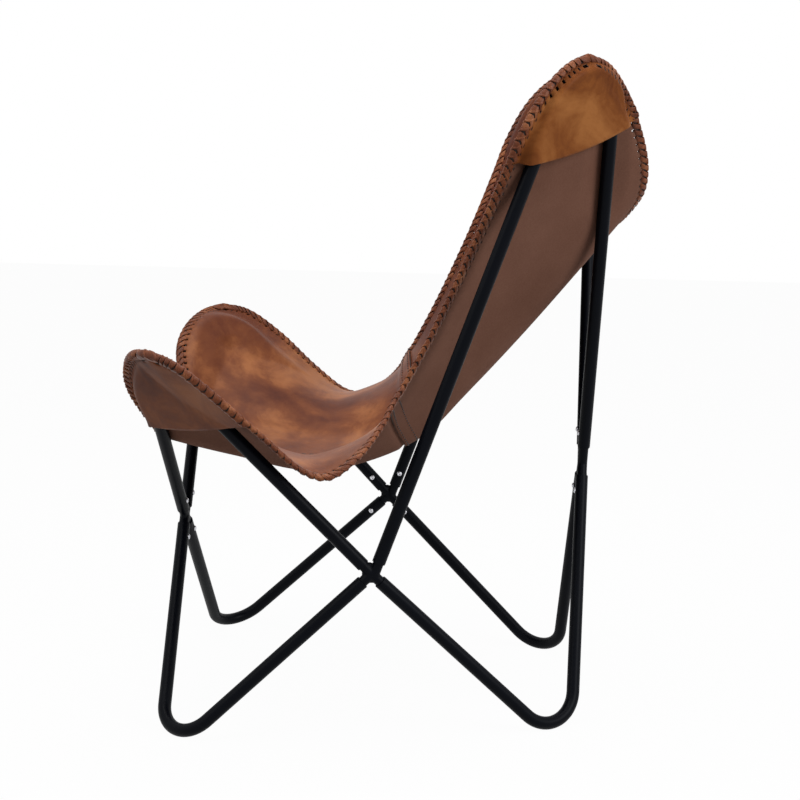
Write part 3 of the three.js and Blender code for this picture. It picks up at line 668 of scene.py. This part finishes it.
leather_under, start = new_material("suede_underside")
spot = start.node("ShaderNodeTexCoord", output="Object")
nap = start.node("ShaderNodeTexNoise", Vector=spot, Scale=420.0, Detail=5.0, Roughness=0.75)
stroke = start.node("ShaderNodeTexNoise", Vector=spot, Scale=9.0, Detail=4.0, Roughness=0.6)
suede = start.node("ShaderNodeValToRGB", {"stops": [
    (0.25, (0.112, 0.047, 0.029)), (0.75, (0.205, 0.097, 0.064)),
]}, Fac=nap * 0.5 + stroke * 0.5)
fluff = start.node("ShaderNodeBump", Height=nap, Strength=0.35, Distance=0.0008)
finish_material(start, start.node(
    "ShaderNodeBsdfPrincipled", Base_Color=suede, Roughness=0.9, Normal=fluff, Specular_IOR_Level=0.12,
))

leather_cut, start = new_material("cut_leather_edge")
spot = start.node("ShaderNodeTexCoord", output="Object")
fibre = start.node("ShaderNodeTexNoise", Vector=spot, Scale=900.0, Detail=3.0)
raw = start.node(
    "ShaderNodeMix", {"data_type": "RGBA"}, output="Result",
    Factor=fibre, i6=(0.014, 0.005, 0.003), i7=(0.040, 0.015, 0.009),
)
finish_material(start, start.node("ShaderNodeBsdfPrincipled", Base_Color=raw, Roughness=0.75))

last_column = 2 * column_count
panels = {  # its rows, its columns and its rise over the other layers, its flat size, what it hangs on
    "seat_panel_left": (
        (0, seat_last, column_count - lap_columns, last_column, seat_rise(1)),
        (0.44, 0.51), ["tube_front_bar_left"],
    ),
    "seat_panel_right": (
        (0, seat_last, 0, column_count + lap_columns, seat_rise(-1)),
        (0.44, 0.51), ["tube_front_bar_right"],
    ),
    "back_panel": (
        (back_first, row_count, 0, last_column, no_rise),
        (0.85, 0.62), ["tube_back_bar_left", "tube_back_bar_right"],
    ),
}


def thickened(obj):
    """Gives a sheet the leather's thickness, with its suede back and its cut edge."""
    wall = obj.modifiers.new("thickness", "SOLIDIFY")
    wall.thickness = leather_thickness
    wall.offset = 0
    wall.material_offset = 1
    wall.material_offset_rim = 2


def area_of(mesh):
    return sum(face.calc_area() for face in mesh.faces)


for name, (extent, flat_size, held_by) in panels.items():
    mesh = panel_mesh(*extent)
    area = area_of(mesh)
    layers = [leather_top, leather_under, leather_cut]
    leather = piece(f"leather_{name}", mesh, layers, [name])
    thickened(leather)


# Four pockets of smooth amber leather, laced under the ears of the sling. Their border
# lies flat on the sling as far as the lacing holds it, then each swells out over the
# bend of a bar and is stretched to a free edge that bows a little.
pocket_border = 0.0098
border_start_share, border_end_share = 0.6, 1.9
pocket_swell = 0.022
pocket_ease = 0.0006
pocket_hole_shift = 0.0012
free_edge_bow = 0.009
free_edge_inset_share = 0.03
tube_clear_near, tube_clear_far = 0.009, 0.022
near_most_share, far_most_share = 0.3, 0.45
pocket_rows = 34
pocket_probes = 241
least_slant = 0.5
plain_end = 4
pocket_facts = {  # the bar, the row at its edge, where it starts on that edge and ends on the side
    "front_pocket": (0, 0, 0.40, 0.172, (0.21, 0.24)),
    "back_pocket": (1, row_count, 0.585, 0.812, (0.19, 0.24)),
}

amber, start = new_material("amber_leather")
spot = start.node("ShaderNodeTexCoord", output="Object")
patch = start.node("ShaderNodeTexNoise", Vector=spot, Scale=11.0, Detail=5.0, Roughness=0.6, Distortion=0.7)
scuff = start.node("ShaderNodeTexNoise", Vector=spot, Scale=60.0, Detail=4.0, Roughness=0.7)
honey = start.node("ShaderNodeValToRGB", {"stops": [
    (0.0, (0.108, 0.029, 0.010)), (0.5, (0.212, 0.066, 0.017)), (1.0, (0.345, 0.130, 0.038)),
]}, Fac=(patch * 0.85 + scuff * 0.15).clamped(0.34, 0.66))
height = start.node("ShaderNodeSeparateXYZ", Vector=spot, output="Z").clamped(0.62, 0.72)
painted_shade_low = start.node(  # painted shade: darker below the seat's height, so the down-facing front pockets look shaded
    "ShaderNodeMix", {"data_type": "RGBA"}, output="Result",
    Factor=height, i6=(0.72, 0.60, 0.56), i7=(1.0, 1.0, 1.0),
)
honey = start.node(
    "ShaderNodeMix", {"data_type": "RGBA", "blend_type": "MULTIPLY"}, output="Result",
    Factor=1.0, i6=honey, i7=painted_shade_low,
)
creases = start.node("ShaderNodeTexNoise", Vector=spot, Scale=240.0, Detail=5.0, Roughness=0.6)
relief = start.node("ShaderNodeBump", Height=creases, Strength=0.16, Distance=0.0007)
finish_material(start, start.node(
    "ShaderNodeBsdfPrincipled", Base_Color=honey, Roughness=0.32 + scuff * 0.15, Normal=relief,
    Specular_IOR_Level=0.03,
))


def pocket_surface(points, facing, along, across):
    """Rows of points from the rim of an ear to the pocket's free edge, outside a bar."""
    rim_point, rim_normal = sling_point(along, across), sling_normal(along, across)
    count = len(along)
    share = np.linspace(0, 1, count)[:, None]
    away = rim_point.mean(0) - (rim_point[0] + rim_point[-1]) / 2
    away -= away @ facing * facing
    away /= np.linalg.norm(away)
    inset_share = free_edge_inset_share + (1 - 2 * free_edge_inset_share) * share
    free = rim_point[0] + (rim_point[-1] - rim_point[0]) * inset_share
    free = free - away * free_edge_bow * np.sin(math.pi * share)
    span = np.linalg.norm(free - rim_point, axis=1)
    run = (free - rim_point) / span[:, None]
    edge_run = np.gradient(rim_point, axis=0)
    edge_run /= np.linalg.norm(edge_run, axis=1, keepdims=True)
    slant = np.maximum(least_slant, np.linalg.norm(np.cross(run, edge_run), axis=1))
    reach = span[:, None] * np.linspace(0, 1, pocket_probes)
    spot = rim_point[:, None] + run[:, None] * reach[..., None]
    border = pocket_border / slant[:, None]
    swell = np.clip((reach - border) / pocket_swell, 0, 1)
    lifted = smoothstep(reach, border * border_start_share, border * border_end_share)
    swell = (swell * (2 - swell) * lifted)[..., None]
    height = (spot - points[0]) @ facing
    under = -layer_rise - pocket_ease
    sunk = np.minimum(under, -(bearing + pocket_ease) - height)[..., None]
    direction = rim_normal[:, None] * (1 - swell) + facing * swell
    direction /= np.linalg.norm(direction, axis=-1, keepdims=True)
    spot = spot + direction * (under + (sunk - under) * swell)
    closest, distance = nearest_on(points, spot)
    height = ((spot - closest) * facing).sum(-1)
    aside = np.sqrt(np.maximum(0, distance**2 - height**2))
    push = np.maximum(0, bearing + height) * (1 - smoothstep(aside, tube_clear_near, tube_clear_far))
    spot -= push[..., None] * facing
    travelled = np.cumsum(np.linalg.norm(np.diff(spot, axis=1, prepend=spot[:, :1]), axis=-1), axis=1)
    surface = np.zeros((count, pocket_rows + 1, 3))
    for station in range(count):
        whole = travelled[station, -1]
        near = min((hole_near - pocket_hole_shift) / slant[station], near_most_share * whole)
        far = min((hole_far - pocket_hole_shift) / slant[station], far_most_share * whole)
        wanted = np.r_[0, near, np.linspace(far, whole, pocket_rows - 1)]
        for axis in range(3):
            surface[station, :, axis] = np.interp(wanted, travelled[station], spot[station, :, axis])
    return surface


def pocket_mesh(bar, edge_row, edge_share, side_share, side):
    """The sheet of one pocket, with its lacing holes and its face turned outward."""
    points, facing = bars[bar]
    start_column = int(np.argmin(np.abs(columns - edge_share)))
    end_row = int(np.argmin(np.abs(rows - side_share)))
    edge = [(edge_row, c) for c in range(start_column, last_column + 1)]
    step = 1 if edge_row == 0 else -1
    edge += [(r, last_column) for r in range(edge_row + step, end_row + step, step)]
    row, column = np.array(edge).T
    surface = pocket_surface(points, facing, along_at[row, column], across_at[row, column])
    count = len(edge)
    mesh = bmesh.new()
    bmesh.ops.create_grid(mesh, x_segments=count - 1, y_segments=pocket_rows, size=0.5)
    mesh.verts.index_update()
    place = np.array([round((vert.co.x + 0.5) * (count - 1)) for vert in mesh.verts])
    rank = np.array([round((vert.co.y + 0.5) * pocket_rows) for vert in mesh.verts])
    for vert, (x, y, z) in zip(mesh.verts, surface[place, rank]):
        vert.co = (side * x, y, z)
    smoothed(mesh)
    corner = last_column - start_column
    holes = []
    for face in mesh.faces:
        station = min(place[vert.index] for vert in face.verts)
        turn = row[station] - (step < 0) if station >= corner else column[station]
        inside = plain_end <= station < count - plain_end
        if inside and turn % hole_step == 1 and min(rank[vert.index] for vert in face.verts) == 1:
            holes.append(face)
    bmesh.ops.delete(mesh, geom=holes, context="FACES_ONLY")
    bmesh.ops.recalc_face_normals(mesh, faces=mesh.faces[:])
    away = Vector((side * facing[0], facing[1], facing[2]))
    if sum((face.normal for face in mesh.faces), Vector()).dot(away) > 0:
        bmesh.ops.reverse_faces(mesh, faces=mesh.faces[:])
    return mesh


for name, (bar, edge_row, edge_share, side_share, flat_size) in pocket_facts.items():
    for hand, side in (("left", 1), ("right", -1)):
        mesh = pocket_mesh(bar, edge_row, edge_share, side_share, side)
        area = area_of(mesh)
        node = f"{name}_{hand}"
        layers = [amber, leather_under, leather_cut]
        pocket = piece(f"leather_{node}", mesh, layers, [node])
        thickened(pocket)


# The lacing: a flat leather lace whipped round every edge of the sling through punched
# holes. Each turn climbs from its hole over the edge and down to the underside, and a
# narrow strand crosses from one turn to the next, so that the edge looks braided.
lace_width = 0.0094
lace_thickness = 0.0013
strand_width = 0.0034
doubling_depth = 0.0012
side_band = 0.9
edge_heart = (-0.004, 0.0)  # out and up: the lace winds round this point

lace, start = new_material("lace_leather")
spot = start.node("ShaderNodeTexCoord", output="Object")
shade = start.node("ShaderNodeTexNoise", Vector=spot, Scale=34.0, Detail=4.0, Roughness=0.65)
fine = start.node("ShaderNodeTexNoise", Vector=spot, Scale=520.0, Detail=4.0, Roughness=0.6)
brown = start.node("ShaderNodeValToRGB", {"stops": [
    (0.0, (0.060, 0.014, 0.006)), (0.5, (0.150, 0.042, 0.016)), (1.0, (0.330, 0.120, 0.048)),
]}, Fac=(shade * 0.75 + fine * 0.25).clamped(0.33, 0.67))
relief = start.node("ShaderNodeBump", Height=fine, Strength=0.25, Distance=0.0005)
finish_material(start, start.node(
    "ShaderNodeBsdfPrincipled", Base_Color=brown, Roughness=0.34 + fine * 0.2, Normal=relief,
    Specular_IOR_Level=0.16,
))

# painted shade: a near-black filler inside the lacing, standing in for the shade between its turns
core, start = new_material("lace_shadow")
finish_material(start, start.node("ShaderNodeBsdfPrincipled", Base_Color=(0.010, 0.004, 0.002), Roughness=0.8))


def edge_frame(edge, inner, rise):
    """Points, ways up and ways out along one edge of the sling, and where pockets lie under it."""
    row, column = np.array(edge).T
    along, across = along_at[row, column], across_at[row, column]
    normal = sling_normal(along, across)
    lift = rise(along, across)[:, None] * normal
    point = sling_point(along, across) + lift
    inner_row, inner_column = np.array(inner).T
    near = sling_point(along_at[inner_row, inner_column], across_at[inner_row, inner_column]) + lift
    edge_run = np.gradient(point, axis=0)
    edge_run /= np.linalg.norm(edge_run, axis=1, keepdims=True)
    outward = np.cross(edge_run, normal)
    outward *= np.sign(((point - near) * outward).sum(1, keepdims=True))
    outward /= np.linalg.norm(outward, axis=1, keepdims=True)
    doubled = np.zeros(len(edge))
    for _, edge_row, edge_share, side_share, _ in pocket_facts.values():
        on_end = (row == edge_row) & (np.abs(across) > edge_share)
        on_side = along < side_share if edge_row == 0 else along > side_share
        doubled[on_end | (on_side & (np.abs(across) > side_band))] = 1
    return point, normal, outward, doubled


def side_rise(along, across):
    seat = seat_rise(1)(along, across) / 2
    return np.where(along > rows[seat_last], 0, seat)


all_rows, all_columns = range(row_count + 1), range(last_column + 1)
edges = {
    "front_lacing": ([(0, c) for c in all_columns], [(1, c) for c in all_columns], no_rise),
    "side_lacing_left": (
        [(r, last_column) for r in all_rows], [(r, last_column - 1) for r in all_rows], side_rise,
    ),
    "top_lacing": (
        [(row_count, c) for c in reversed(all_columns)],
        [(row_count - 1, c) for c in reversed(all_columns)], no_rise,
    ),
    "side_lacing_right": (
        [(r, 0) for r in reversed(all_rows)], [(r, 1) for r in reversed(all_rows)], side_rise,
    ),
}
frames = {name: edge_frame(*edge) for name, edge in edges.items()}
loop_point, loop_up, loop_out, loop_doubled = (
    np.concatenate([frame_of[k] for frame_of in frames.values()]) for k in range(4)
)
loop_count = len(loop_point)
spare_stations = 8

# Each path gives how far along the edge, out from it and up from it the lace runs
turn_path = np.array([
    (-0.48, -0.0068, 0.0002), (-0.47, -0.0066, 0.0012), (-0.40, -0.0052, 0.0021), (-0.10, -0.0010, 0.0024),
    (0.20, 0.0026, 0.0022), (0.36, 0.0044, 0.0012), (0.40, 0.0048, 0.0), (0.36, 0.0044, -0.0012),
    (0.20, 0.0026, -0.0022), (-0.10, -0.0010, -0.0024), (-0.40, -0.0052, -0.0021), (-0.47, -0.0066, -0.0012),
    (-0.48, -0.0068, -0.0002),
])
strand_path = np.array([
    (-0.50, 0.0006, 0.0031), (-0.28, 0.0036, 0.0027), (-0.08, 0.0051, 0.0010),
    (0.08, 0.0051, -0.0010), (0.28, 0.0036, -0.0027), (0.50, 0.0006, -0.0031),
])
oval_section = np.array([
    (-0.5, 0.0), (-0.47, 0.8), (-0.38, 1.0), (0.38, 1.0), (0.47, 0.8), (0.5, 0.0), (0.0, -0.6),
])


def grid_tube(stations, sides, spots):
    """A closed tube bent from a grid. spots gives the place of each station and side."""
    mesh = bmesh.new()
    bmesh.ops.create_grid(mesh, x_segments=stations - 1, y_segments=sides, size=0.5)
    for vert in mesh.verts:
        station = round((vert.co.x + 0.5) * (stations - 1))
        vert.co = spots[station, round((vert.co.y + 0.5) * sides) % sides]
    bmesh.ops.remove_doubles(mesh, verts=mesh.verts[:], dist=1e-6)
    bmesh.ops.holes_fill(mesh, edges=[edge for edge in mesh.edges if edge.is_boundary], sides=sides)
    bmesh.ops.recalc_face_normals(mesh, faces=mesh.faces[:])
    smoothed(mesh)
    return mesh


def lace_run(path, width, pitch):
    """One run of lace along a path, in its own lengths: along, out and up."""
    tangent = np.gradient(path[:, 1:], axis=0)
    tangent /= np.linalg.norm(tangent, axis=1, keepdims=True)
    proud = np.stack([tangent[:, 1], -tangent[:, 0]], 1)
    proud *= np.where((proud * (path[:, 1:] - edge_heart)).sum(1, keepdims=True) < 0, -1, 1)
    spots = np.zeros((len(path), len(oval_section), 3))
    for k, (aside, raised) in enumerate(oval_section):
        spots[:, k, 0] = path[:, 0] * pitch + aside * width
        spots[:, k, 1:] = path[:, 1:] + proud * raised * lace_thickness
    return grid_tube(len(path), len(oval_section), spots)


row_pitch = 0.01255
lace_unit = bpy.data.meshes.new("lace_unit")
unit = lace_run(turn_path, lace_width, row_pitch)
unit.to_mesh(lace_unit)
unit.free()
strand_unit = bpy.data.meshes.new("strand_unit")
unit = lace_run(strand_path, strand_width, row_pitch)
unit.to_mesh(strand_unit)
unit.free()


def along_edge(local, centre):
    """Where a shape given by along, out and up stands on the edge, from a station on it."""
    station = centre + local[:, 0] / row_pitch * hole_step
    places = np.arange(-spare_stations, loop_count + spare_stations)
    fields = []
    for values in (loop_point, loop_up, loop_out, loop_doubled[:, None]):
        wrapped = np.concatenate([values[-spare_stations:], values, values[:spare_stations]])
        fields.append(np.stack([np.interp(station, places, axis) for axis in wrapped.T], -1))
    spot, up, out, doubled = fields
    deeper = doubled[:, 0] * (layer_rise + pocket_ease) * np.clip(-local[:, 2] / doubling_depth, 0, 1)
    return spot + out * local[:, 1:2] + up * (local[:, 2] - deeper)[:, None]


def laced(first, last):
    """The turns of lace from one station of the edge to another."""
    mesh = bmesh.new()
    spots = []
    centres = [first + hole_step * (index + 0.5) for index in range((last - first) // hole_step)]
    for centre in [*centres, last + 0.5]:  # the last turn lies across the corner
        for unit in (lace_unit, strand_unit):
            mesh.from_mesh(unit)
            local = np.array([vert.co for vert in unit.vertices])
            spots.append(along_edge(local, centre))
    for vert, place in zip(mesh.verts, np.concatenate(spots)):
        vert.co = place
    return mesh


core_section = np.array([
    (-0.0040, 0.0013), (-0.0026, 0.0018), (0.0010, 0.0020), (0.0034, 0.0014), (0.0042, 0.0),
    (0.0034, -0.0014), (0.0010, -0.0020), (-0.0026, -0.0018), (-0.0040, -0.0013),
])


def painted_shade_core(first, last):
    """A near-black tube of painted shade inside the lacing, so that no light shows between its turns."""
    stations = last - first + 1
    spots = np.zeros((stations, len(core_section), 3))
    for k, (out, up) in enumerate(core_section):
        local = np.zeros((stations, 3))
        local[:, 0] = np.arange(stations) * row_pitch / hole_step
        local[:, 1], local[:, 2] = out, up
        spots[:, k] = along_edge(local, first)
    return grid_tube(stations, len(core_section), spots)


first = 0
for name, (edge, inner, rise) in edges.items():
    last = first + len(edge) - 1
    piece(f"lace_{name}", laced(first, last), lace, [name])
    piece(f"core_{name}", painted_shade_core(first, last), core, [])
    first = last + 1


# Seams: waxed thread in rows of short stitches, two rows across the lap of the seat and
# the back and two along the lap of the seat's halves. Each stitch shows above and below.
cross_thread = 0.0011
middle_thread = 0.0015
cross_stitch = 0.0034
cross_pitch = 0.0084
middle_stitch = 0.0090
middle_pitch = 0.0125
thread_rise_share = 0.4
cross_reach, cross_probes = 0.955, 260
cross_inset = 0.0052
middle_probes = 160
middle_share = 0.40

thread, start = new_material("waxed_thread")
spot = start.node("ShaderNodeTexCoord", output="Object")
twist = start.node("ShaderNodeTexNoise", Vector=spot, Scale=900.0, Detail=2.0)
waxed = start.node(
    "ShaderNodeMix", {"data_type": "RGBA"}, output="Result",
    Factor=twist, i6=(0.010, 0.003, 0.002), i7=(0.028, 0.009, 0.005),
)
finish_material(start, start.node("ShaderNodeBsdfPrincipled", Base_Color=waxed, Roughness=0.5))


def stitched(name, path, way_up, stitch, step, radius):
    """A row of stitches along a line of points, each a short rod with rounded ends."""
    lengths = np.r_[0, np.cumsum(np.linalg.norm(np.diff(path, axis=0), axis=1))]
    mesh = bmesh.new()
    for index in range(int(lengths[-1] / step)):
        middle_length = (index + 0.5) * step
        first, centre, last, up = (
            np.array([np.interp(place, lengths, values[:, k]) for k in range(3)])
            for place, values in (
                (middle_length - stitch / 2, path), (middle_length, path), (middle_length + stitch / 2, path),
                (middle_length, way_up),
            )
        )
        run = Vector(last - first).normalized()
        side = Vector(up).cross(run).normalized()
        turn = Matrix((run, side, run.cross(side))).transposed().to_4x4()
        size = Matrix.Diagonal((stitch / 2, radius, radius, 1))
        bmesh.ops.create_uvsphere(
            mesh, u_segments=6, v_segments=5, radius=1,
            matrix=Matrix.Translation(centre) @ turn @ size @ Matrix.Rotation(math.pi / 2, 4, "Y"),
        )
    smoothed(mesh)
    piece(name, mesh, thread, [])


def seam(name, along, across, rise, stitch, step, radius):
    """The same row of stitches on the sitter's side and on the underside."""
    up = sling_normal(along, across)
    centre = sling_point(along, across)
    proud = leather_thickness / 2 + radius * thread_rise_share
    stitched(f"{name}_top", centre + up * (rise + proud)[:, None], up, stitch, step, radius)
    stitched(f"{name}_under", centre - up * proud, up, stitch, step, radius)


span = np.linspace(-cross_reach, cross_reach, cross_probes)
for label, place in (("near", rows[back_first] + cross_inset), ("far", rows[seat_last] - cross_inset)):
    along = np.full_like(span, place)
    rise = np.where(span < lap_across / 2, seat_rise(-1)(along, span), seat_rise(1)(along, span))
    seam(f"seam_across_{label}", along, span, rise, cross_stitch, cross_pitch, cross_thread)
run = np.linspace(rows[2], rows[back_first - 1], middle_probes)
for label, place in (("left", lap_across * middle_share), ("right", -lap_across * middle_share)):
    across = np.full_like(run, place)
    rise = seat_rise(-1)(run, across)
    seam(f"seam_along_{label}", run, across, rise, middle_stitch, middle_pitch, middle_thread)
